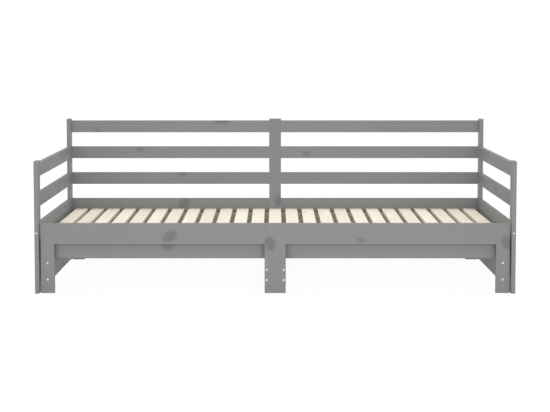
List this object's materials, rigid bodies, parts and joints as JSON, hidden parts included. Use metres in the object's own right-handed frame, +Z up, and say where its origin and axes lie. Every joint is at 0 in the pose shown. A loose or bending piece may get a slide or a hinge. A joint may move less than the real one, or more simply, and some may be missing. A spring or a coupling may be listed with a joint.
{
  "type": "pull-out bed",
  "caption": "Grey painted pine day bed with open slatted back and arms, and an inner frame on its own legs that slides forward on interleaved slats to make a double bed.",
  "frame": {"origin": "on the floor under the middle of the closed bed", "axes": "+X along the bed to the right as seen from the front, -Y out of the front, +Z up"},
  "size_m": [2.04, 1.01, 0.692],
  "materials": {
    "grey_painted_pine": "satin grey paint",
    "bare_pine": "planed, bare",
    "dowel_beech": "fluted, bare",
    "zinc_plated_steel": "zinc plated"
  },
  "bodies": {
    "day_bed": {"back_bed_rail_left": "grey_painted_pine", "back_bed_rail_right": "grey_painted_pine", "back_centre_post": "grey_painted_pine", "back_ledger_screws": "zinc_plated_steel", "back_lower_rail_left": "grey_painted_pine", "back_lower_rail_right": "grey_painted_pine", "back_post_left": "grey_painted_pine", "back_post_right": "grey_painted_pine", "back_rail_dowels": "dowel_beech", "back_rail_screws": "zinc_plated_steel", "back_slat_ledger_left": "grey_painted_pine", "back_slat_ledger_right": "grey_painted_pine", "back_top_rail_left": "grey_painted_pine", "back_top_rail_right": "grey_painted_pine", "back_upper_rail_left": "grey_painted_pine", "back_upper_rail_right": "grey_painted_pine", "barrel_nuts": "zinc_plated_steel", "bed_bolts": "zinc_plated_steel", "bracket_screws": "zinc_plated_steel", "centre_support_leg": "grey_painted_pine", "corner_bracket_left": "zinc_plated_steel", "corner_bracket_right": "zinc_plated_steel", "fixed_slat_screws": "zinc_plated_steel", "fixed_slats": "bare_pine", "front_post_left": "grey_painted_pine", "front_post_right": "grey_painted_pine", "front_support_rail_left": "grey_painted_pine", "front_support_rail_right": "grey_painted_pine", "side_bed_rail_left": "grey_painted_pine", "side_bed_rail_right": "grey_painted_pine", "side_middle_rail_left": "grey_painted_pine", "side_middle_rail_right": "grey_painted_pine", "side_rail_dowels": "dowel_beech", "side_top_rail_left": "grey_painted_pine", "side_top_rail_right": "grey_painted_pine", "support_leg_screws": "zinc_plated_steel"},
    "pull_out": {"centre_runner_left": "grey_painted_pine", "centre_runner_right": "grey_painted_pine", "front_board_dowels": "dowel_beech", "front_board_left": "grey_painted_pine", "front_board_right": "grey_painted_pine", "front_centre_leg": "grey_painted_pine", "front_ledger_screws": "zinc_plated_steel", "front_leg_left": "grey_painted_pine", "front_leg_right": "grey_painted_pine", "front_leg_screws": "zinc_plated_steel", "front_slat_ledger_left": "grey_painted_pine", "front_slat_ledger_right": "grey_painted_pine", "outer_runner_left": "grey_painted_pine", "outer_runner_right": "grey_painted_pine", "pullout_slat_screws": "zinc_plated_steel", "pullout_slats": "bare_pine", "rear_centre_leg": "grey_painted_pine", "rear_leg_left": "grey_painted_pine", "rear_leg_right": "grey_painted_pine", "rear_leg_screws": "zinc_plated_steel", "rear_rail_left": "bare_pine", "rear_rail_right": "bare_pine", "rear_rail_screws": "zinc_plated_steel"}
  },
  "joints": [
    {"name": "pull_out_slide", "type": "slide", "parent": "day_bed", "child": "pull_out", "axis": [0, -1, 0], "range_m": [0, 0.84]}
  ]
}
